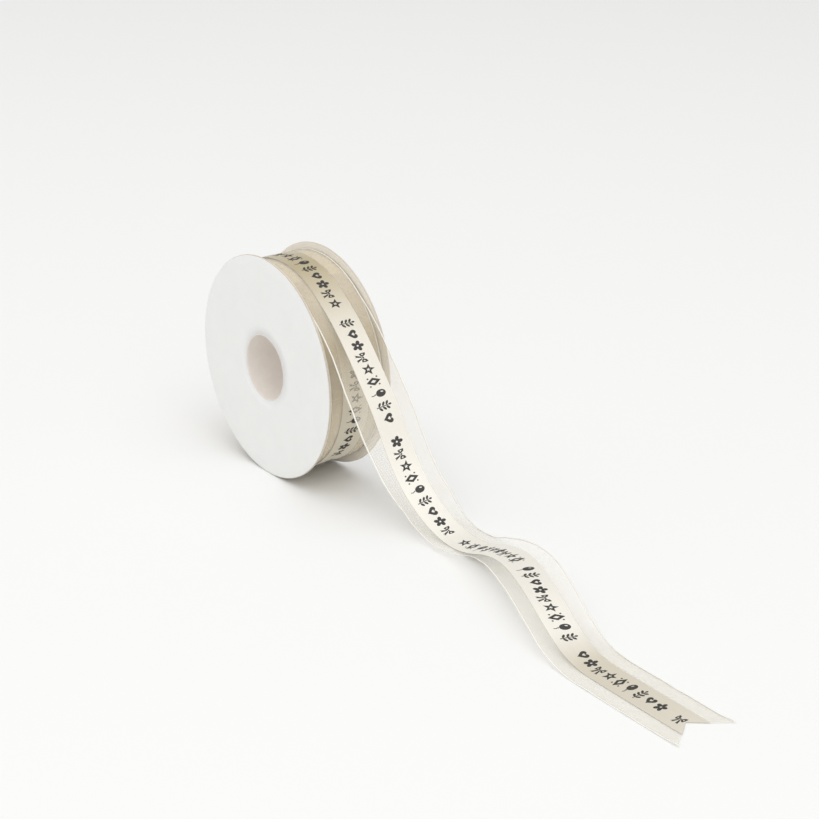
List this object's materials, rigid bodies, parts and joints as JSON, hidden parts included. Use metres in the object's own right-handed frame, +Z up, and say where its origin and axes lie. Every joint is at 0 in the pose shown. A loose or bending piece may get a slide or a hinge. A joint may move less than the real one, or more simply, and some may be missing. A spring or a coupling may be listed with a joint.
{
  "type": "ribbon spool",
  "caption": "Gift ribbon wound on a flat paperboard spool that stands on its rims, with a length of ribbon drawn off along the table to a swallowtail end.",
  "frame": {"origin": "on the table under the middle of the spool, halfway between the flanges and directly below the bore's axis", "axes": "+Y along the spool's axis, +Z up, +X the way the drawn ribbon runs along the table"},
  "size_m": [0.299, 0.048, 0.09],
  "materials": {
    "flange_greyboard": "matte",
    "white_facing_paper": "matte",
    "tube_board": "matte",
    "liner_paper": "matte",
    "hot_melt_glue": "satin",
    "clear_tape": "gloss",
    "ribbon": "satin"
  },
  "bodies": {
    "drawn_ribbon": {"ribbon_tail": "ribbon"},
    "spool": {"near_flange_board": "flange_greyboard", "near_outer_facing": "white_facing_paper", "near_inner_facing": "white_facing_paper", "far_flange_board": "flange_greyboard", "far_outer_facing": "white_facing_paper", "far_inner_facing": "white_facing_paper", "core_tube": "tube_board", "core_liner": "liner_paper", "near_glue_bead": "hot_melt_glue", "far_glue_bead": "hot_melt_glue", "start_tape": "clear_tape", "wound_ribbon": "ribbon"}
  },
  "joints": [
    {"name": "spool_spin", "type": "hinge", "parent": "drawn_ribbon", "child": "spool", "pos_m": [0, 0, 0.045], "axis": [0, 1, 0], "continuous": true}
  ]
}
